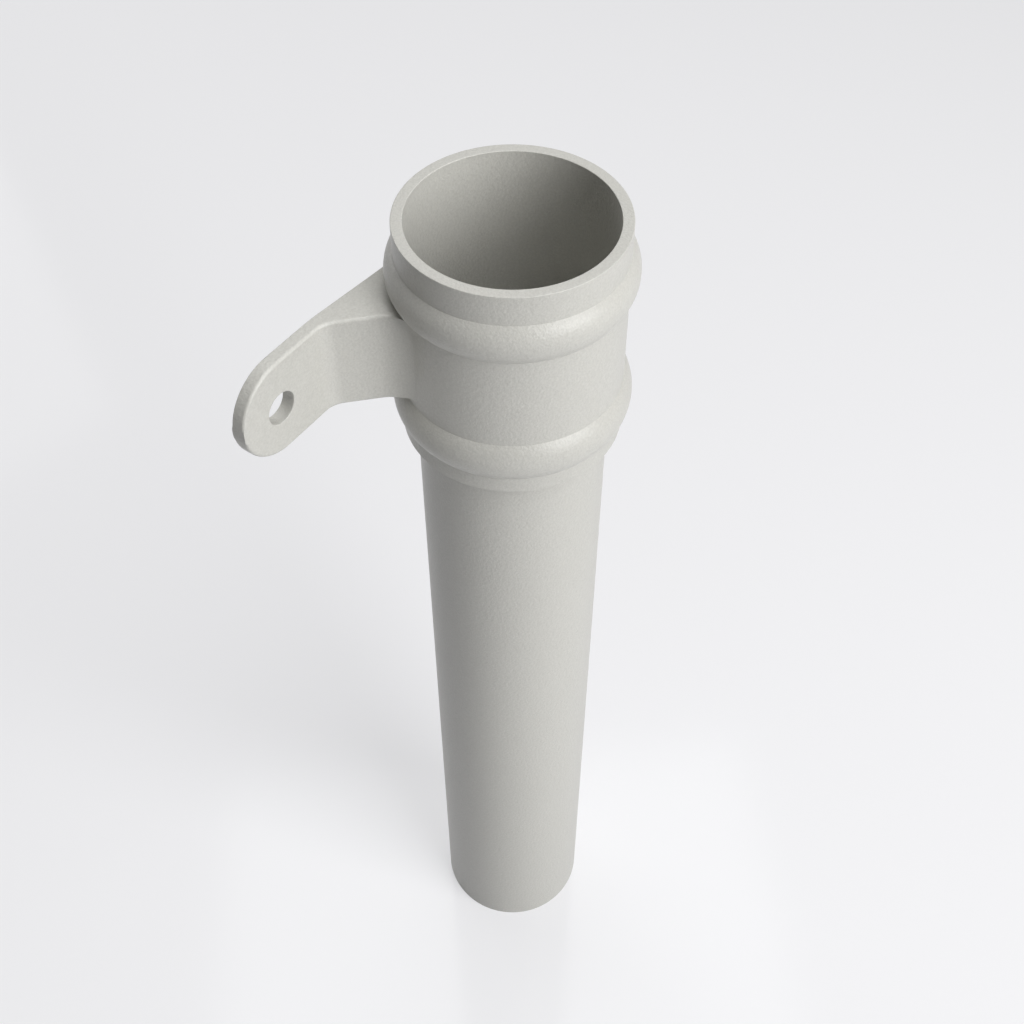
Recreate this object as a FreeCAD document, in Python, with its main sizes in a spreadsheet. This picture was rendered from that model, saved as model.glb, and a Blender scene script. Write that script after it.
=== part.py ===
"""Socketed downpipe length, cast in one piece with one fixing ear.

The pipe stands on its spigot end: Z runs up the axis, the wall is on the +Y side and
the ear reaches out towards -X. All sizes are millimetres and degrees.
"""
import FreeCAD, Part
import math
import os
import Sketcher

NODE = "downpipe"

SIZES = [
    # the pipe
    ("pipe_diameter", 76.0),
    ("pipe_wall", 3.0),
    ("overall_length", 484.7),
    # the socket, from the rim down
    ("socket_clearance", 0.35),
    ("socket_wall", 4.3),
    ("barrel_swell", 0.25),
    ("collar_swell", 0.85),
    ("lip_height", 12.4),
    ("bead_height", 16.5),
    ("bead_swell", 3.6),
    ("barrel_height", 41.9),
    ("collar_height", 8.5),
    ("stop_thickness", 5.0),
    # the ear, its reaches taken from the outside of the barrel
    ("wall_gap", 0.2),
    ("plate_thickness", 5.2),
    ("plate_start", 18.5),
    ("plate_reach", 59.7),
    ("hole_reach", 40.5),
    ("hole_diameter", 13.0),
    ("hole_drop", 0.4),
    ("ear_lift", 0.7),
    ("ear_gap", 2.0),
    ("splay_angle", 44.1),
    ("back_angle", 5.1),
    ("bend_radius", 10.0),
    ("back_bend_radius", 70.0),
    ("root_radius", 8.0),
    ("root_bite", 0.15),
    # edges: cast ones are rounded, cut and drilled ones are deburred
    ("ear_edge_radius", 0.8),
    ("hole_chamfer", 0.4),
    ("rim_chamfer", 0.3),
    ("foot_chamfer", 0.6),
    ("shoulder_chamfer", 0.3),
]

# How far a cutting outline runs past the metal it cuts.
CUT_MARGIN = 5.0


class Size:
    """A size as the sheet's own expression, with its present value beside it."""

    def __init__(self, text, value):
        self.text = text
        self.value = value

    def _join(self, sign, other, value):
        text = other.text if isinstance(other, Size) else str(other)
        return Size("(" + self.text + sign + text + ")", value)

    def __add__(self, other):
        return self._join(" + ", other, self.value + number(other))

    def __sub__(self, other):
        return self._join(" - ", other, self.value - number(other))

    def __mul__(self, other):
        return self._join(" * ", other, self.value * number(other))

    def __truediv__(self, other):
        return self._join(" / ", other, self.value / number(other))


def number(item):
    return item.value if isinstance(item, Size) else item


def make_sheet(doc):
    sheet = doc.addObject("Spreadsheet::Sheet", "Sizes")
    named = {}
    for row, (name, value) in enumerate(SIZES, start=1):
        sheet.set("A%d" % row, name)
        sheet.set("B%d" % row, str(value))
        sheet.setAlias("B%d" % row, name)
        named[name] = Size("Sizes." + name, value)
    doc.recompute()
    return named


def work_out(size):
    """Levels are heights above the spigot end, radii are taken from the axis."""
    size["pipe_radius"] = size["pipe_diameter"] / 2
    size["bore_radius"] = size["pipe_radius"] - size["pipe_wall"]
    size["socket_radius"] = size["pipe_radius"] + size["socket_clearance"]
    size["lip_radius"] = size["socket_radius"] + size["socket_wall"]
    size["barrel_radius"] = size["lip_radius"] + size["barrel_swell"]
    size["collar_radius"] = size["lip_radius"] + size["collar_swell"]
    size["bead_radius"] = size["barrel_radius"] + size["bead_swell"]

    size["lip_level"] = size["overall_length"] - size["lip_height"]
    size["barrel_top"] = size["lip_level"] - size["bead_height"]
    size["barrel_foot"] = size["barrel_top"] - size["barrel_height"]
    size["collar_top"] = size["barrel_foot"] - size["bead_height"]
    size["shoulder_level"] = size["collar_top"] - size["collar_height"]
    size["stop_level"] = size["shoulder_level"] + size["stop_thickness"]

    size["ear_top"] = size["barrel_top"] + size["ear_lift"]
    size["ear_foot"] = size["barrel_foot"] + size["ear_gap"]
    size["ear_height"] = size["ear_top"] - size["ear_foot"]
    size["ear_middle"] = size["ear_foot"] + size["ear_height"] / 2
    size["round_end"] = size["ear_height"] / 2

    size["wall_plane"] = size["bead_radius"] + size["wall_gap"]
    size["plate_front"] = size["wall_plane"] - size["plate_thickness"]
    size["plate_begins"] = size["barrel_radius"] + size["plate_start"]
    size["ear_tip"] = size["barrel_radius"] + size["plate_reach"]
    size["hole_out"] = size["barrel_radius"] + size["hole_reach"]
    size["hole_level"] = size["ear_middle"] - size["hole_drop"]
    size["root_seat"] = size["barrel_radius"] - size["root_bite"]


def bead_arc_radius(size, neighbour):
    """Radius of a bead's arc, from its height and its rise over the mean of its two feet."""
    half = size["bead_height"] / 2
    foot = (size["barrel_radius"] + neighbour) / 2
    rise = size["bead_radius"] - foot
    return (half * half + rise * rise) / (rise * 2)


def vector(across, up):
    return FreeCAD.Vector(number(across), number(up), 0)


def new_sketch(body, name, plane):
    sketch = body.newObject("Sketcher::SketchObject", name)
    for feature in body.Origin.OriginFeatures:
        if feature.Role == plane:
            sketch.AttachmentSupport = [(feature, "")]
    sketch.MapMode = "FlatFace"
    return sketch


def bind(sketch, kind, elements, size):
    """Adds one dimension, and ties it to the sheet where it is more than a bare number."""
    value = float(number(size))
    if kind == "Angle":
        value = math.radians(value)
    index = sketch.addConstraint(Sketcher.Constraint(kind, *elements, value))
    if isinstance(size, Size):
        sketch.setExpression("Constraints[%d]" % index, size.text)


def line(sketch, start, end):
    return sketch.addGeometry(Part.LineSegment(vector(*start), vector(*end)))


def arc(sketch, centre, radius, start_angle, end_angle):
    circle = Part.Circle(vector(*centre), FreeCAD.Vector(0, 0, 1), number(radius))
    angles = [math.radians(start_angle), math.radians(end_angle)]
    return sketch.addGeometry(Part.ArcOfCircle(circle, *angles))


def join(sketch, first, first_end, second, second_end, kind="Coincident"):
    sketch.addConstraint(Sketcher.Constraint(kind, first, first_end, second, second_end))


def bulge(sketch, low, high, radius):
    """An arc from a lower to a higher point that swells away from the axis."""
    start = vector(*low)
    end = vector(*high)
    chord = end - start
    sagitta_foot = math.sqrt(radius.value ** 2 - (chord.Length / 2) ** 2)
    inward = FreeCAD.Vector(-chord.y, chord.x, 0).normalize()
    centre = (start + end) / 2 + inward * sagitta_foot
    angles = [math.degrees(math.atan2(p.y - centre.y, p.x - centre.x)) for p in (start, end)]
    element = arc(sketch, (centre.x, centre.y), radius, *angles)
    bind(sketch, "Radius", (element,), radius)
    return element


def draw_turned_outline(sketch, corners, bulges=()):
    """Closed outline for a revolved form: straight runs, with a bulge at the given sides."""
    sides = []
    for index, start in enumerate(corners):
        end = corners[(index + 1) % len(corners)]
        radius = dict(bulges).get(index)
        side = bulge(sketch, start, end, radius) if radius else line(sketch, start, end)
        sides.append(side)
    for index, side in enumerate(sides):
        following = sides[(index + 1) % len(sides)]
        join(sketch, side, 2, following, 1)
        across, up = corners[index]
        bind(sketch, "DistanceX", (-1, 1, side, 1), across)
        bind(sketch, "DistanceY", (-1, 1, side, 1), up)


def turn(body, kind, name, sketch):
    feature = body.newObject(kind, name)
    feature.Profile = sketch
    feature.ReferenceAxis = (sketch, ["V_Axis"])
    feature.Angle = 360
    return feature


def make_outside(body, size):
    """The pipe's outside: spigot, shoulder, collar, bead, barrel, bead and lip."""
    sketch = new_sketch(body, "OutsideProfile", "XZ_Plane")
    corners = [
        (0, 0),
        (size["pipe_radius"], 0),
        (size["pipe_radius"], size["shoulder_level"]),
        (size["collar_radius"], size["shoulder_level"]),
        (size["collar_radius"], size["collar_top"]),
        (size["barrel_radius"], size["barrel_foot"]),
        (size["barrel_radius"], size["barrel_top"]),
        (size["lip_radius"], size["lip_level"]),
        (size["lip_radius"], size["overall_length"]),
        (0, size["overall_length"]),
    ]
    lower_bead = bead_arc_radius(size, size["collar_radius"])
    upper_bead = bead_arc_radius(size, size["lip_radius"])
    draw_turned_outline(sketch, corners, [(4, lower_bead), (6, upper_bead)])
    turn(body, "PartDesign::Revolution", "Outside", sketch)


def cut_waterway(body, size):
    """The bore of the pipe, and the wider socket that ends on a stop inside the collar."""
    sketch = new_sketch(body, "WaterwayProfile", "XZ_Plane")
    corners = [
        (0, -CUT_MARGIN),
        (size["bore_radius"], -CUT_MARGIN),
        (size["bore_radius"], size["stop_level"]),
        (size["socket_radius"], size["stop_level"]),
        (size["socket_radius"], size["overall_length"] + CUT_MARGIN),
        (0, size["overall_length"] + CUT_MARGIN),
    ]
    draw_turned_outline(sketch, corners)
    turn(body, "PartDesign::Groove", "Waterway", sketch)


def plan_ear_back(size):
    """The back of the ear from above: a straight slope off the axis, then a slow bend
    on to the wall. Gives the slope's foot, the bend's start and the bend's centre."""
    slope = math.radians(size["back_angle"].value)
    wall = size["wall_plane"].value
    begins = -size["plate_begins"].value
    bend = size["back_bend_radius"].value
    start = (begins + bend * math.sin(slope), wall - bend * (1 - math.cos(slope)))
    foot = (0, start[1] + start[0] * math.tan(slope))
    return foot, start, (begins, wall - bend)


def plan_ear_front(size):
    """The front of the ear from above, bent off the plate towards the pipe. Gives the
    bend's centre and the point where the straight arm leaves it."""
    splay = math.radians(size["splay_angle"].value)
    front = size["plate_front"].value
    begins = -size["plate_begins"].value
    bend = size["bend_radius"].value
    leaves = (begins + bend * math.sin(splay), front - bend * (1 - math.cos(splay)))
    return (begins, front - bend), leaves


def plan_ear_root(size, arm_point):
    """The root's hollow arc, which touches the arm and meets the barrel head on. Gives
    its centre, its ends on the arm and in the barrel, and the angle of its barrel end."""
    splay = math.radians(size["splay_angle"].value)
    root = size["root_radius"].value
    seat = size["root_seat"].value
    outward = (-math.sin(splay), -math.cos(splay))
    along = (-math.cos(splay), math.sin(splay))
    offset = arm_point[0] * outward[0] + arm_point[1] * outward[1] + root
    run = math.sqrt((seat + root) ** 2 - offset ** 2)
    centre = (offset * outward[0] + run * along[0], offset * outward[1] + run * along[1])
    on_arm = (centre[0] - root * outward[0], centre[1] - root * outward[1])
    share = seat / (seat + root)
    in_barrel = (centre[0] * share, centre[1] * share)
    angle = math.degrees(math.atan2(-centre[1], -centre[0]))
    return centre, on_arm, in_barrel, angle


def draw_ear_plan(sketch, size):
    """The ear seen from above: plate on the wall, splayed arm, and a root that runs
    round into the barrel. The outline closes at the axis, inside the barrel."""
    splay = 90 - size["splay_angle"].value
    slope = 90 - size["back_angle"].value
    wall = size["wall_plane"].value
    front = size["plate_front"].value
    begins = -size["plate_begins"].value
    tip = -size["ear_tip"].value
    back_foot, back_start, back_centre = plan_ear_back(size)
    bend_centre, arm_start = plan_ear_front(size)
    root_centre, arm_end, root_end, root_angle = plan_ear_root(size, arm_start)

    inner = line(sketch, (0, 0), back_foot)
    back = line(sketch, back_foot, back_start)
    back_arc = arc(sketch, back_centre, size["back_bend_radius"], slope, 90)
    flat_back = line(sketch, (begins, wall), (tip, wall))
    end = line(sketch, (tip, wall), (tip, front))
    flat_front = line(sketch, (tip, front), (begins, front))
    front_arc = arc(sketch, bend_centre, size["bend_radius"], splay, 90)
    arm = line(sketch, arm_start, arm_end)
    root_arc = arc(sketch, root_centre, size["root_radius"], root_angle, splay)
    closing = line(sketch, root_end, (0, 0))

    join(sketch, inner, 1, -1, 1)
    join(sketch, inner, 2, back, 1)
    join(sketch, back, 2, back_arc, 1, "Tangent")
    join(sketch, back_arc, 2, flat_back, 1, "Tangent")
    join(sketch, flat_back, 2, end, 1)
    join(sketch, end, 2, flat_front, 1)
    join(sketch, flat_front, 2, front_arc, 2, "Tangent")
    join(sketch, front_arc, 1, arm, 1, "Tangent")
    join(sketch, arm, 2, root_arc, 2, "Tangent")
    join(sketch, root_arc, 1, closing, 1, "Perpendicular")
    join(sketch, closing, 2, -1, 1)
    for element in (inner, end):
        sketch.addConstraint(Sketcher.Constraint("Vertical", element))
    for element in (flat_back, flat_front):
        sketch.addConstraint(Sketcher.Constraint("Horizontal", element))

    bind(sketch, "Angle", (back,), Size("180", 180) - size["back_angle"])
    bind(sketch, "Radius", (back_arc,), size["back_bend_radius"])
    bind(sketch, "DistanceX", (flat_back, 1, -1, 1), size["plate_begins"])
    bind(sketch, "DistanceX", (flat_back, 2, -1, 1), size["ear_tip"])
    bind(sketch, "DistanceY", (-1, 1, flat_back, 2), size["wall_plane"])
    bind(sketch, "DistanceY", (end, 2, end, 1), size["plate_thickness"])
    bind(sketch, "DistanceX", (flat_front, 2, -1, 1), size["plate_begins"])
    bind(sketch, "Radius", (front_arc,), size["bend_radius"])
    bind(sketch, "Angle", (arm,), Size("0", 0) - size["splay_angle"])
    bind(sketch, "Radius", (root_arc,), size["root_radius"])
    bind(sketch, "Distance", (closing,), size["root_seat"])


def draw_round_end(sketch, size):
    """What is cut away round the ear's tip, seen along the wall's normal."""
    centre = size["ear_tip"] - size["round_end"]
    beyond = size["ear_tip"] + CUT_MARGIN
    above = size["ear_top"] + CUT_MARGIN
    below = size["ear_foot"] - CUT_MARGIN
    left = -beyond.value
    right = -centre.value

    rise = line(sketch, (right, size["ear_top"]), (right, above))
    top = line(sketch, (right, above), (left, above))
    side = line(sketch, (left, above), (left, below))
    bottom = line(sketch, (left, below), (right, below))
    climb = line(sketch, (right, below), (right, size["ear_foot"]))
    end = arc(sketch, (right, size["ear_middle"]), size["round_end"], 90, 270)

    chain = [(rise, 2, top, 1), (top, 2, side, 1), (side, 2, bottom, 1), (bottom, 2, climb, 1)]
    for link in chain + [(climb, 2, end, 2), (end, 1, rise, 1)]:
        join(sketch, *link)
    for element in (rise, side, climb):
        sketch.addConstraint(Sketcher.Constraint("Vertical", element))
    for element in (top, bottom):
        sketch.addConstraint(Sketcher.Constraint("Horizontal", element))
    join(sketch, end, 3, end, 1, "Vertical")
    join(sketch, end, 3, end, 2, "Vertical")

    bind(sketch, "DistanceX", (end, 3, -1, 1), centre)
    bind(sketch, "DistanceX", (side, 1, -1, 1), beyond)
    bind(sketch, "DistanceY", (-1, 1, end, 1), size["ear_top"])
    bind(sketch, "DistanceY", (-1, 1, end, 2), size["ear_foot"])
    bind(sketch, "DistanceY", (-1, 1, top, 1), above)
    bind(sketch, "DistanceY", (-1, 1, bottom, 1), below)


def draw_hole(sketch, size):
    centre = vector(-size["hole_out"].value, size["hole_level"])
    radius = size["hole_diameter"] / 2
    circle = Part.Circle(centre, FreeCAD.Vector(0, 0, 1), radius.value)
    element = sketch.addGeometry(circle)
    bind(sketch, "Radius", (element,), radius)
    bind(sketch, "DistanceX", (element, 3, -1, 1), size["hole_out"])
    bind(sketch, "DistanceY", (-1, 1, element, 3), size["hole_level"])


def cut_through(doc, body, name, sketch):
    pocket = body.newObject("PartDesign::Pocket", name)
    pocket.Profile = sketch
    pocket.Type = "ThroughAll"
    pocket.SideType = "Symmetric"
    doc.recompute()
    return pocket


def ease_edges(doc, body, kind, name, edges, size):
    """Fillets or chamfers edges of the body as it is so far."""
    carrier = body.Tip
    feature = body.newObject("PartDesign::" + kind, name)
    feature.Base = (carrier, edges)
    feature.setExpression("Radius" if kind == "Fillet" else "Size", size.text)
    doc.recompute()


def ear_outline_edges(shape):
    """Names of the edges that run round the ear's front and back faces."""
    names = []
    for index, edge in enumerate(shape.Edges, start=1):
        box = edge.BoundBox
        across_plate = box.XLength < 1e-3 and box.ZLength < 1e-3
        upright = box.XLength < 1e-3 and box.YLength < 1e-3
        at_axis = any(math.hypot(vertex.X, vertex.Y) < 1e-3 for vertex in edge.Vertexes)
        if not (across_plate or upright or at_axis):
            names.append("Edge%d" % index)
    return names


def ring_edges(shape, rings):
    """Names of the circles about the axis that have one of the given radii and levels."""
    names = []
    for index, edge in enumerate(shape.Edges, start=1):
        if not isinstance(edge.Curve, Part.Circle):
            continue
        centre = edge.Curve.Center
        for radius, level in rings:
            near_level = abs(centre.z - number(level)) < 1e-3
            near_radius = abs(edge.Curve.Radius - radius.value) < 1e-3
            on_axis = math.hypot(centre.x, centre.y) < 1e-3
            if near_level and near_radius and on_axis:
                names.append("Edge%d" % index)
    return names


def hole_edges(shape, size):
    radius = size["hole_diameter"].value / 2
    names = []
    for index, edge in enumerate(shape.Edges, start=1):
        if isinstance(edge.Curve, Part.Circle) and abs(edge.Curve.Radius - radius) < 1e-3:
            if edge.isClosed():
                names.append("Edge%d" % index)
    return names


def make_ear(doc, size):
    """The fixing ear, with its root carried into the barrel's metal."""
    body = doc.addObject("PartDesign::Body", "Ear")
    body.Label = "ear"
    plan = new_sketch(body, "EarPlan", "XY_Plane")
    plan.setExpression("AttachmentOffset.Base.z", size["ear_foot"].text)
    draw_ear_plan(plan, size)
    pad = body.newObject("PartDesign::Pad", "EarPad")
    pad.Profile = plan
    pad.setExpression("Length", size["ear_height"].text)
    doc.recompute()

    outline = new_sketch(body, "EarRoundEnd", "XZ_Plane")
    draw_round_end(outline, size)
    cut_through(doc, body, "RoundEnd", outline)
    edges = ear_outline_edges(body.Shape)
    ease_edges(doc, body, "Fillet", "EarEdges", edges, size["ear_edge_radius"])

    hole = new_sketch(body, "HoleCircle", "XZ_Plane")
    draw_hole(hole, size)
    cut_through(doc, body, "FixingHole", hole)
    edges = hole_edges(body.Shape, size)
    ease_edges(doc, body, "Chamfer", "HoleEdges", edges, size["hole_chamfer"])
    return body


def make_downpipe(doc, size):
    body = doc.addObject("PartDesign::Body", "Downpipe")
    body.Label = NODE
    make_outside(body, size)
    doc.recompute()

    ear = make_ear(doc, size)
    union = body.newObject("PartDesign::Boolean", "EarCastOn")
    union.setObjects([ear])
    union.Type = "Fuse"
    doc.recompute()

    cut_waterway(body, size)
    doc.recompute()
    top = size["overall_length"]
    rim = [(size["lip_radius"], top), (size["socket_radius"], top)]
    foot = [(size["pipe_radius"], 0), (size["bore_radius"], 0)]
    shoulder = [(size["collar_radius"], size["shoulder_level"])]
    for name, rings, chamfer in (
        ("RimEdges", rim, size["rim_chamfer"]),
        ("FootEdges", foot, size["foot_chamfer"]),
        ("ShoulderEdge", shoulder, size["shoulder_chamfer"]),
    ):
        ease_edges(doc, body, "Chamfer", name, ring_edges(body.Shape, rings), chamfer)
    return body


def check(doc, bodies):
    for item in doc.Objects:
        if "Invalid" in item.State or "Error" in item.State:
            raise RuntimeError("%s failed: %s" % (item.Label, item.State))
        if item.TypeId == "Sketcher::SketchObject" and not item.FullyConstrained:
            raise RuntimeError("%s is not fully constrained" % item.Label)
    for body in bodies:
        if body.Shape.isNull() or not body.Shape.isValid() or len(body.Shape.Solids) != 1:
            raise RuntimeError("%s is not one sound solid" % body.Label)


def main():
    doc = FreeCAD.newDocument("Downpipe")
    size = make_sheet(doc)
    work_out(size)
    downpipe = make_downpipe(doc, size)
    doc.recompute()
    check(doc, [downpipe])

    os.makedirs("parts", exist_ok=True)
    downpipe.Shape.exportStep("parts/" + downpipe.Label + ".step")
    box = downpipe.Shape.BoundBox
    print(downpipe.Label, "volume %.0f mm3" % downpipe.Shape.Volume, box)


main()
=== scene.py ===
import math

import bmesh
import bpy
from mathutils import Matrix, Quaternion, Vector


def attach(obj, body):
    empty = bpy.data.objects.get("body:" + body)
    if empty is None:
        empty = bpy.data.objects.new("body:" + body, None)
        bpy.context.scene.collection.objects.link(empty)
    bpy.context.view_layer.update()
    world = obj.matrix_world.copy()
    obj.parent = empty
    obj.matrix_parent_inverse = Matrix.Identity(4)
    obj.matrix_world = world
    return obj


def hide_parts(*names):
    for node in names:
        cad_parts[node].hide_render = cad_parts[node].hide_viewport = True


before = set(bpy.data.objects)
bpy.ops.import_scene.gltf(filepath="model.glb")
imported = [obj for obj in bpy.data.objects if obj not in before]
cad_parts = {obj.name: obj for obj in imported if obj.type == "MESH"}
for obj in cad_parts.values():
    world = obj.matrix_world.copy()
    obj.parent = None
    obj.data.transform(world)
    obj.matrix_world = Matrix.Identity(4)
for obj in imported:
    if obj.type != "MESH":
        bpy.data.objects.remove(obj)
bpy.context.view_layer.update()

# Millimetres to metres
MM = 0.001

# Radii of the casting, in millimetres
PIPE_RADIUS = 38.0
BORE_RADIUS = 35.0
SOCKET_RADIUS = 38.35
LIP_RADIUS = 42.65
BARREL_RADIUS = 42.9
COLLAR_RADIUS = 43.5
UPPER_BEAD_RADIUS = 46.35
LOWER_BEAD_RADIUS = 46.65

# Levels above the floor, in millimetres
SHOULDER = 388.9
STOP = 393.9
COLLAR_TOP = 396.0
BARREL_FOOT = 413.9
BARREL_TOP = 455.2
LIP_FOOT = 472.3
RIM = 484.7

# The ear's plate and arm: distances from the axis and levels, in millimetres
WALL_FACE = 46.7
PLATE_FRONT = 41.1
PLATE_BEGINS = -61.9
EAR_TIP = -102.8
EAR_TOP = 456.5
EAR_FOOT = 415.9

# The arm's angles to the wall, in front and behind, and the radii of its two bends
SPLAY = math.radians(44.1)
BACK_SLOPE = math.radians(5.1)
FRONT_BEND = 10.0
BACK_BEND = 70.0

# The middle of the barrel's wall, where the ear ends inside it
BARREL_WALL = (SOCKET_RADIUS + BARREL_RADIUS) / 2

# The ear's root: its radius, the circle just inside the barrel's face that it ends on,
# and the slanting hollow under it
ROOT_RADIUS = 15.0
ROOT_SEAT = 42.75
HOLLOW_REACH = 51.0
HOLLOW_FOOT = 415.0
HOLLOW_TOP = 418.2

# The fixing hole
HOLE_OUT = -83.4
HOLE_LEVEL = 435.8
HOLE_RADIUS = 6.5

# Rounding of the edges, in millimetres
FRONT_EDGE = 1.2
BACK_EDGE = 0.6
HOLE_EDGE = 0.4
CREASE = 0.5
CUT_EDGE = 0.3

# How far the ear's blank reaches past its finished tip, top and foot, in millimetres
SPARE_OUT = 6.0
SPARE_LEVEL = 4.0

# The cutters, in millimetres: how far in front of the plate the tongue's middle lies, the
# tongue's run inwards, the depth of the tongue and the core, and the drill's depth
TONGUE_MIDDLE = 20.0
TONGUE_RUN = 100.0
CUTTER_DEPTH = 80.0
DRILL_DEPTH = 30.0

# Steps round the turned shapes and along the arcs
LATHE_STEPS = 240
BEAD_STEPS = 16
BACK_BEND_STEPS = 3
FRONT_BEND_STEPS = 12
ROOT_STEPS = 14
EAR_END_STEPS = 128
HOLE_STEPS = 72
EAR_EDGE_STEPS = 4
CORNER_STEPS = 3

# How near counts as the same place, and as lying on the hole's rim, in metres
SAME_PLACE = 1e-6
ON_THE_RIM = 1e-5

# An edge of the ear is sharp from this angle on, and upright when this share of its run goes
# up; a face lies on a side when this share of its normal points there
SHARP_ANGLE = math.radians(50)
UPRIGHT_SHARE = 0.99
SIDE_SHARE = 0.3

# The finished casting is shaded smooth where its faces meet at less than this angle
SMOOTH_ANGLE = math.radians(35)


# Modelling helpers

def deselect_all():
    if bpy.context.mode != "OBJECT":
        bpy.ops.object.mode_set(mode="OBJECT")
    bpy.ops.object.select_all(action="DESELECT")


def name_new(name):
    piece = bpy.context.object
    piece.name = name
    piece.data.name = name
    bpy.ops.object.transform_apply(location=True, rotation=True, scale=True)
    return piece


def work_on(piece):
    deselect_all()
    piece.select_set(True)
    bpy.context.view_layer.objects.active = piece
    bpy.ops.object.mode_set(mode="EDIT")
    bpy.ops.mesh.select_all(action="DESELECT")


def select_where(piece, kind, test):
    """Selects the piece's verts, edges or faces that pass the test, in edit mode."""
    bpy.ops.mesh.select_mode(type={"verts": "VERT", "edges": "EDGE", "faces": "FACE"}[kind])
    bpy.ops.mesh.select_all(action="DESELECT")
    mesh = bmesh.from_edit_mesh(piece.data)
    for part in getattr(mesh, kind):
        if test(part):
            part.select_set(True)
    mesh.select_flush_mode()
    bmesh.update_edit_mesh(piece.data)


def apply_modifier(piece, kind, **settings):
    deselect_all()
    piece.select_set(True)
    bpy.context.view_layer.objects.active = piece
    modifier = piece.modifiers.new(kind.title(), kind)
    for setting, value in settings.items():
        setattr(modifier, setting, value)
    bpy.ops.object.modifier_apply(modifier=modifier.name)


def cut_with(piece, cutter, operation):
    """Cuts, trims or joins a piece with another one, which is used up."""
    apply_modifier(piece, "BOOLEAN", object=cutter, operation=operation, solver="EXACT")
    bpy.data.objects.remove(cutter)


def lies_at(vert, places):
    return min((vert.co - place).length for place in places) < SAME_PLACE


def draw_outline(name, points):
    """One closed run of edges through the points, extruded from a single vertex."""
    deselect_all()
    bpy.ops.mesh.primitive_plane_add(size=MM, location=points[0])
    piece = name_new(name)
    work_on(piece)
    bpy.ops.mesh.select_all(action="SELECT")
    bpy.ops.mesh.merge(type="CENTER")
    for here, there in zip(points, points[1:]):
        bpy.ops.mesh.extrude_region_move(TRANSFORM_OT_translate={"value": there - here})
    ends = [points[0], points[-1]]
    select_where(piece, "verts", lambda v: lies_at(v, ends))
    bpy.ops.mesh.edge_face_add()
    return piece


def arc_points(centre, radius, start, end, steps):
    """Points along an arc, both ends included, angles in radians."""
    angles = [start + (end - start) * step / steps for step in range(steps + 1)]
    return [
        (centre[0] + radius * math.cos(angle), centre[1] + radius * math.sin(angle))
        for angle in angles
    ]


# The turned part of the casting: pipe, collar, beads, barrel and lip

def bead_points(low, high, crest):
    """A bead's arc, which swells to its crest radius between its two feet."""
    middle = ((low[0] + high[0]) / 2, (low[1] + high[1]) / 2)
    half = math.dist(low, high) / 2
    rise = crest - middle[0]
    radius = (half * half + rise * rise) / (2 * rise)
    centre = (crest - radius, middle[1])
    start = math.atan2(low[1] - centre[1], low[0] - centre[0])
    end = math.atan2(high[1] - centre[1], high[0] - centre[0])
    return arc_points(centre, radius, start, end, BEAD_STEPS)


def wall_section():
    """The wall's section, radius and level, up the outside and down the inside."""
    outside = [(PIPE_RADIUS, 0.0), (PIPE_RADIUS, SHOULDER), (COLLAR_RADIUS, SHOULDER)]
    collar, barrel = (COLLAR_RADIUS, COLLAR_TOP), (BARREL_RADIUS, BARREL_FOOT)
    outside += bead_points(collar, barrel, LOWER_BEAD_RADIUS)
    outside += bead_points((BARREL_RADIUS, BARREL_TOP), (LIP_RADIUS, LIP_FOOT), UPPER_BEAD_RADIUS)
    rim = [(LIP_RADIUS, RIM), (SOCKET_RADIUS, RIM)]
    inside = [(SOCKET_RADIUS, STOP), (BORE_RADIUS, STOP), (BORE_RADIUS, 0.0)]
    return outside + rim + inside


def round_corners(piece, corners, radius):
    """Rounds the section's corners that lie at the given radii and levels."""
    places = [Vector((corner[0], 0, corner[1])) * MM for corner in corners]
    select_where(piece, "verts", lambda v: lies_at(v, places))
    bpy.ops.mesh.bevel(offset=radius * MM, segments=CORNER_STEPS, affect="VERTICES")


def turn_pipe():
    points = [Vector((radius, 0, level)) * MM for radius, level in wall_section()]
    pipe = draw_outline("downpipe_casting", points)
    cast = [(PIPE_RADIUS, SHOULDER), (COLLAR_RADIUS, SHOULDER), (COLLAR_RADIUS, COLLAR_TOP)]
    cast += [(BARREL_RADIUS, BARREL_FOOT), (BARREL_RADIUS, BARREL_TOP), (LIP_RADIUS, LIP_FOOT)]
    round_corners(pipe, cast, CREASE)
    cut = [(LIP_RADIUS, RIM), (SOCKET_RADIUS, RIM), (PIPE_RADIUS, 0), (BORE_RADIUS, 0)]
    round_corners(pipe, cut, CUT_EDGE)
    bpy.ops.mesh.select_all(action="SELECT")
    bpy.ops.mesh.spin(steps=LATHE_STEPS, angle=2 * math.pi, center=(0, 0, 0), axis=(0, 0, 1))
    bpy.ops.mesh.select_all(action="SELECT")
    bpy.ops.mesh.remove_doubles(threshold=SAME_PLACE)
    bpy.ops.mesh.normals_make_consistent(inside=False)
    deselect_all()
    return pipe


# The fixing ear

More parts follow.
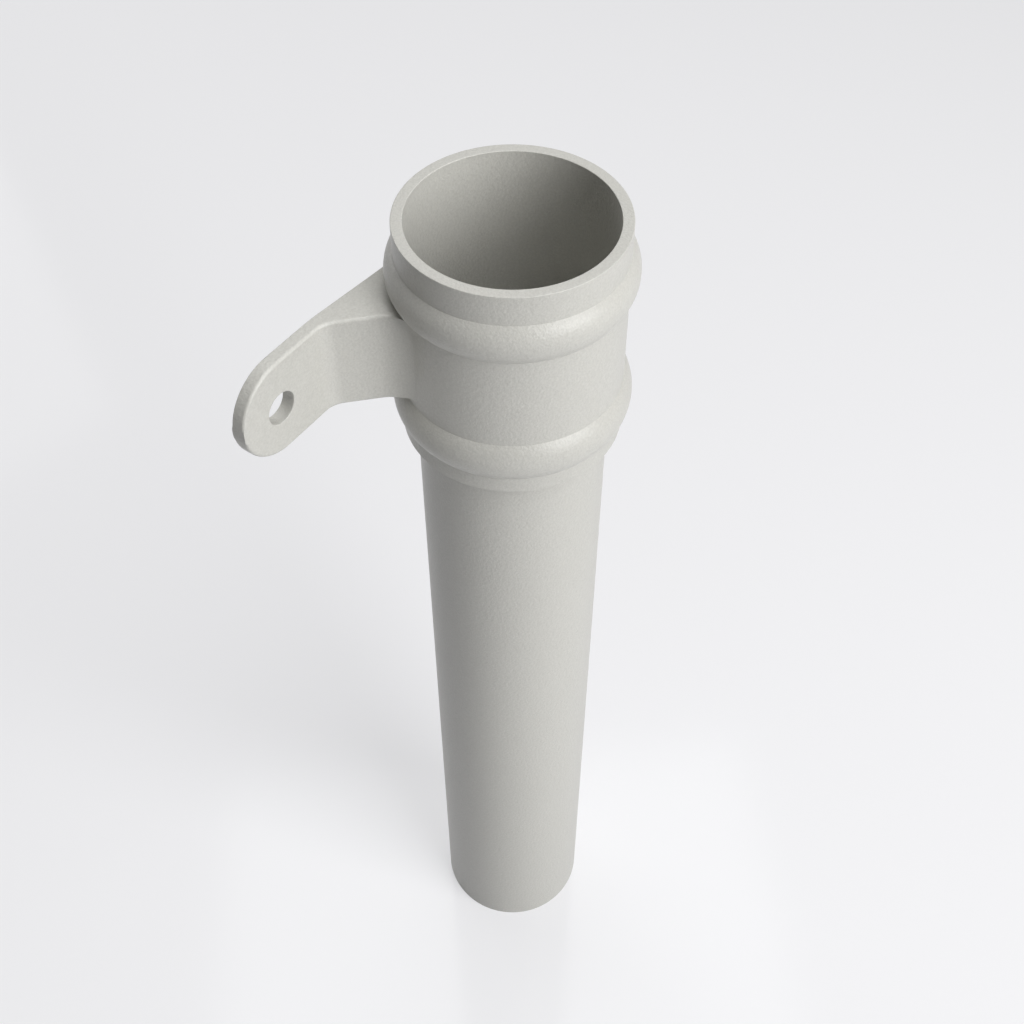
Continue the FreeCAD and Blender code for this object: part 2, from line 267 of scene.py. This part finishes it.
def ear_plan():
    """The ear's outline from above, from beyond its tip along the wall to the pipe's axis,
    and back along the front: hollow root, straight arm, bend and plate."""
    beyond = EAR_TIP - SPARE_OUT
    back_centre = (PLATE_BEGINS, WALL_FACE - BACK_BEND)
    upright = math.pi / 2
    back = arc_points(back_centre, BACK_BEND, upright, upright - BACK_SLOPE, BACK_BEND_STEPS)
    back_foot = (0.0, back[-1][1] + back[-1][0] * math.tan(BACK_SLOPE))

    bend_centre = (PLATE_BEGINS, PLATE_FRONT - FRONT_BEND)
    bend = arc_points(bend_centre, FRONT_BEND, upright - SPLAY, upright, FRONT_BEND_STEPS)

    outward = Vector((-math.sin(SPLAY), -math.cos(SPLAY)))
    along = Vector((-math.cos(SPLAY), math.sin(SPLAY)))
    offset = Vector(bend[0]).dot(outward) + ROOT_RADIUS
    run = math.sqrt((ROOT_SEAT + ROOT_RADIUS) ** 2 - offset ** 2)
    root_centre = outward * offset + along * run
    seat_angle = math.atan2(-root_centre.y, -root_centre.x)
    root = arc_points(root_centre, ROOT_RADIUS, seat_angle, upright - SPLAY, ROOT_STEPS)

    behind = [(beyond, WALL_FACE)] + back + [back_foot, (0.0, 0.0)]
    return behind + root + bend + [(beyond, PLATE_FRONT)]


def extrude_ear_blank():
    """The plan carried up past the ear's real top and foot, which are trimmed next."""
    low = (EAR_FOOT - SPARE_LEVEL) * MM
    points = [Vector((x * MM, y * MM, low)) for x, y in ear_plan()]
    ear = draw_outline("ear", points)
    bpy.ops.mesh.select_all(action="SELECT")
    bpy.ops.mesh.edge_face_add()
    rise = (EAR_TOP - EAR_FOOT + 2 * SPARE_LEVEL) * MM
    bpy.ops.mesh.extrude_region_move(TRANSFORM_OT_translate={"value": (0, 0, rise)})
    bpy.ops.mesh.select_all(action="SELECT")
    bpy.ops.mesh.normals_make_consistent(inside=False)
    return ear


def add_cylinder(name, radius, depth, place, steps, lying):
    deselect_all()
    bpy.ops.mesh.primitive_cylinder_add(
        vertices=steps,
        radius=radius * MM,
        depth=depth * MM,
        location=Vector(place) * MM,
        rotation=(math.pi / 2, 0, 0) if lying else (0, 0, 0),
    )
    return name_new(name)


def trim_round_end(ear):
    """Leaves what lies inside a tongue with a half-round end: the ear seen face on."""
    radius = (EAR_TOP - EAR_FOOT) / 2
    centre = (EAR_TIP + radius, PLATE_FRONT - TONGUE_MIDDLE, EAR_FOOT + radius)
    tongue = add_cylinder("tongue", radius, CUTTER_DEPTH, centre, EAR_END_STEPS, lying=True)
    work_on(tongue)
    select_where(tongue, "faces", lambda f: f.normal.x > 1e-3)
    bpy.ops.mesh.extrude_region_move(TRANSFORM_OT_translate={"value": (TONGUE_RUN * MM, 0, 0)})
    deselect_all()
    cut_with(ear, tongue, "INTERSECT")


def hollow_under_root(ear):
    """Cuts the foot of the ear slantwise upwards where it nears the barrel, so that a
    hollow is left over the lower bead."""
    deselect_all()
    bpy.ops.mesh.primitive_cone_add(
        vertices=LATHE_STEPS,
        radius1=HOLLOW_REACH * MM,
        radius2=BARREL_RADIUS * MM,
        depth=(HOLLOW_TOP - HOLLOW_FOOT) * MM,
        location=(0, 0, (HOLLOW_TOP + HOLLOW_FOOT) / 2 * MM),
    )
    cut_with(ear, name_new("hollow"), "DIFFERENCE")


def outline_edge(edge, facing):
    """Is it a sharp edge round the ear's front (facing -1) or back face (facing 1), outside
    the barrel's wall? Upright edges are left as they are: those where the ear enters the
    barrel, and the few at the very tip of its round end."""
    if len(edge.link_faces) != 2 or edge.calc_face_angle() < SHARP_ANGLE:
        return False
    run = edge.verts[1].co - edge.verts[0].co
    upright = abs(run.z) > UPRIGHT_SHARE * run.length
    on_side = any(facing * face.normal.y > SIDE_SHARE for face in edge.link_faces)
    outside = all(v.co.xy.length > BARREL_WALL * MM for v in edge.verts)
    return on_side and outside and not upright


def hole_rim_edge(edge):
    centre = Vector((HOLE_OUT, HOLE_LEVEL)) * MM
    reach = [(Vector((v.co.x, v.co.z)) - centre).length for v in edge.verts]
    across = abs(edge.verts[0].co.y - edge.verts[1].co.y)
    on_rim = all(abs(r - HOLE_RADIUS * MM) < ON_THE_RIM for r in reach)
    return on_rim and across < ON_THE_RIM


def shape_ear():
    ear = extrude_ear_blank()
    trim_round_end(ear)
    work_on(ear)
    for facing, radius in ((-1, FRONT_EDGE), (1, BACK_EDGE)):
        select_where(ear, "edges", lambda edge: outline_edge(edge, facing))
        bpy.ops.mesh.bevel(offset=radius * MM, segments=EAR_EDGE_STEPS, affect="EDGES")
    hollow_under_root(ear)

    centre = (HOLE_OUT, (PLATE_FRONT + WALL_FACE) / 2, HOLE_LEVEL)
    drill = add_cylinder("drill", HOLE_RADIUS, DRILL_DEPTH, centre, HOLE_STEPS, lying=True)
    cut_with(ear, drill, "DIFFERENCE")
    work_on(ear)
    select_where(ear, "edges", hole_rim_edge)
    bpy.ops.mesh.bevel(offset=HOLE_EDGE * MM, segments=CORNER_STEPS, affect="EDGES")
    return ear


def cast_ear_on(pipe, ear):
    """Ends the ear inside the barrel's wall, then makes one skin of pipe and ear."""
    middle = (0, 0, (EAR_TOP + EAR_FOOT) / 2)
    core = add_cylinder("core", BARREL_WALL, CUTTER_DEPTH, middle, LATHE_STEPS, lying=False)
    cut_with(ear, core, "DIFFERENCE")
    cut_with(pipe, ear, "UNION")
    work_on(pipe)
    bpy.ops.mesh.select_all(action="SELECT")
    bpy.ops.mesh.remove_doubles(threshold=SAME_PLACE)
    bpy.ops.mesh.normals_make_consistent(inside=False)
    deselect_all()


def finish_casting(pipe):
    """Smooth faces between crisp edges, with the wide faces setting the normals."""
    deselect_all()
    pipe.select_set(True)
    bpy.context.view_layer.objects.active = pipe
    bpy.ops.object.shade_smooth_by_angle(angle=SMOOTH_ANGLE)
    apply_modifier(pipe, "WEIGHTED_NORMAL", keep_sharp=True, weight=50)


# Materials

def hex_colour(code):
    """An sRGB hex colour as the linear values that the shaders work in."""
    channels = [int(code[i:i + 2], 16) / 255 for i in (0, 2, 4)]
    linear = [c / 12.92 if c <= 0.04045 else ((c + 0.055) / 1.055) ** 2.4 for c in channels]
    return (*linear, 1.0)


def add_node(tree, kind, settings=None, links=None):
    """Adds a node: settings by property or socket name, links as socket: output."""
    node = tree.nodes.new("ShaderNode" + kind)
    for key, value in (settings or {}).items():
        if isinstance(key, str) and hasattr(node, key):
            setattr(node, key, value)
        else:
            node.inputs[key].default_value = value
    for key, output in (links or {}).items():
        tree.links.new(output, node.inputs[key])
    return node


def new_material(name):
    material = bpy.data.materials.new(name)
    material.use_nodes = True
    tree = material.node_tree
    tree.nodes.clear()
    output = tree.nodes.new("ShaderNodeOutputMaterial")
    return material, tree, output


def powder_coated_cast_aluminium():
    """Warm grey polyester powder over sand-cast aluminium, baked to a satin. The coat
    gives the eye a fine orange peel, and the sand's grain shows softly through it."""
    material, tree, output = new_material("powder_coated_cast_aluminium")
    place = add_node(tree, "TexCoord").outputs["Object"]

    # Orange peel of the coat, about 1.4 mm from hump to hump
    peel_width = 1.4 * MM
    peel_depth = 0.26 * MM
    peel = add_node(tree, "TexNoise", {"Scale": 1 / peel_width, "Detail": 2.0}, {"Vector": place})

    # Grain of the moulding sand, about 0.5 mm, drawn at 0.8 mm so that it shows
    grain_width = 0.8 * MM
    grain_depth = 0.17 * MM
    grain = add_node(tree, "TexNoise", {"Scale": 1 / grain_width, "Detail": 2.0}, {"Vector": place})

    # The coat is drawn a shade darker in the grain's pits and lighter on its humps: painted shade
    # in the pits and painted light on the humps
    shade = add_node(tree, "ValToRGB", links={"Fac": grain.outputs["Fac"]})
    shade.color_ramp.elements[0].position = 0.3
    shade.color_ramp.elements[0].color = hex_colour("BEBDB7")
    shade.color_ramp.elements[1].position = 0.7
    shade.color_ramp.elements[1].color = hex_colour("C8C7C1")

    grain_bump = add_node(
        tree,
        "Bump",
        {"Strength": 0.5, "Distance": grain_depth},
        {"Height": grain.outputs["Fac"]},
    )
    peel_bump = add_node(
        tree,
        "Bump",
        {"Strength": 0.65, "Distance": peel_depth},
        {"Height": peel.outputs["Fac"], "Normal": grain_bump.outputs["Normal"]},
    )
    coat = add_node(
        tree,
        "BsdfPrincipled",
        {"Roughness": 0.37, "IOR": 1.5, "Metallic": 0.0},
        {"Base Color": shade.outputs["Color"], "Normal": peel_bump.outputs["Normal"]},
    )
    tree.links.new(coat.outputs["BSDF"], output.inputs["Surface"])
    return material


def seen_directly(tree):
    """One where the ray comes from the camera, a gloss or a clear body, else nought."""
    path = add_node(tree, "LightPath")
    seen = path.outputs["Is Camera Ray"]
    for kind in ("Is Glossy Ray", "Is Transmission Ray"):
        either = add_node(tree, "Math", {"operation": "MAXIMUM"}, {0: seen, 1: path.outputs[kind]})
        seen = either.outputs[0]
    return seen


def glossy_white_board():
    """Coated board of the studio floor, with the faint mirror image of a gloss. It is nearly
    white where it is seen directly, with a share of plain white that evens out the lamps'
    fall-off, and greyer in the light that it throws back on the pipe."""
    material, tree, output = new_material("glossy_white_board")
    seen = seen_directly(tree)
    thrown_back, shown = hex_colour("D9D9DB"), hex_colour("EAEAEC")
    shade = add_node(tree, "MixRGB", {"Color1": thrown_back, "Color2": shown}, {"Fac": seen})
    board = add_node(
        tree,
        "BsdfPrincipled",
        {"Roughness": 0.12, "IOR": 1.4},
        {"Base Color": shade.outputs["Color"]},
    )
    white = add_node(tree, "Emission", {"Color": hex_colour("FDFDFF"), "Strength": 1.0})
    plain_share = 0.5
    share = add_node(tree, "Math", {"operation": "MULTIPLY", 1: plain_share}, {0: seen})
    look = add_node(
        tree,
        "MixShader",
        links={0: share.outputs[0], 1: board.outputs["BSDF"], 2: white.outputs["Emission"]},
    )
    tree.links.new(look.outputs["Shader"], output.inputs["Surface"])
    return material


# Studio, in metres, watts and degrees

FLOOR_SIZE = 12
WALL_STRENGTH = 0.6

IMAGE_PIXELS = 1024
SENSOR_MM = 36
LENS_MM = 48.42
CAMERA_PLACE = (-0.3178, -0.2213, 0.7835)
CAMERA_DOWN = 49.78
CAMERA_TURN = -55.15


def lay_floor():
    deselect_all()
    bpy.ops.mesh.primitive_plane_add(size=FLOOR_SIZE, location=(0, 0, 0))
    floor = name_new("studio_floor")
    floor.data.materials.append(glossy_white_board())


def add_softbox(name, place, aim, width, height, power, turn=0.0):
    """A softbox that faces its aim, turned by some degrees about its own axis, and out of
    the camera's sight."""
    data = bpy.data.lights.new(name, "AREA")
    data.shape = "RECTANGLE"
    data.size = width
    data.size_y = height
    data.energy = power
    lamp = bpy.data.objects.new(name, data)
    lamp.visible_camera = False
    bpy.context.scene.collection.objects.link(lamp)
    lamp.location = place
    facing = (Vector(aim) - Vector(place)).to_track_quat("-Z", "Y")
    lamp.rotation_euler = (facing @ Quaternion((0, 0, 1), math.radians(turn))).to_euler()
    return lamp


def light_studio():
    """Grey walls that only the camera and glosses see, and four softboxes round the pipe."""
    world = bpy.data.worlds.new("studio_world")
    bpy.context.scene.world = world
    world.use_nodes = True
    tree = world.node_tree
    walls = tree.nodes["Background"]
    walls.inputs["Color"].default_value = hex_colour("FFFFFF")
    seen = seen_directly(tree)
    strength = add_node(tree, "Math", {"operation": "MULTIPLY", 1: WALL_STRENGTH}, {0: seen})
    tree.links.new(strength.outputs[0], walls.inputs["Strength"])

    middle = (0, 0, 0.3)
    below_top = (0.533, 0.371, 0)
    add_softbox(
        "key_softbox", (-0.179, -1.804, 1.145), middle, width=1.45, height=1.25, power=33.5
    )
    add_softbox(
        "top_softbox", (0.533, 0.371, 2.3), below_top, width=1.3, height=1.5, power=21, turn=-50
    )
    add_softbox("high_softbox", (-0.176, -0.984, 2.032), middle, width=1.0, height=1.0, power=12)
    add_softbox("back_softbox", (0.375, 2.092, 0.869), middle, width=1.3, height=1.3, power=8)


def place_camera():
    data = bpy.data.cameras.new("camera")
    data.sensor_width = SENSOR_MM
    data.lens = LENS_MM
    # Half a pixel each way, since the camera was solved with pixels counted at their centres
    data.shift_x = -0.5 / IMAGE_PIXELS
    data.shift_y = 0.5 / IMAGE_PIXELS
    camera = bpy.data.objects.new("camera", data)
    bpy.context.scene.collection.objects.link(camera)
    camera.location = CAMERA_PLACE
    camera.rotation_euler = (math.radians(90 - CAMERA_DOWN), 0, math.radians(CAMERA_TURN))
    bpy.context.scene.camera = camera


def make_downpipe():
    pipe = turn_pipe()
    cast_ear_on(pipe, shape_ear())
    finish_casting(pipe)
    pipe.data.materials.append(powder_coated_cast_aluminium())
    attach(pipe, "root")
    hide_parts("downpipe")


make_downpipe()
lay_floor()
light_studio()
place_camera()
bpy.context.scene.view_settings.view_transform = "Standard"
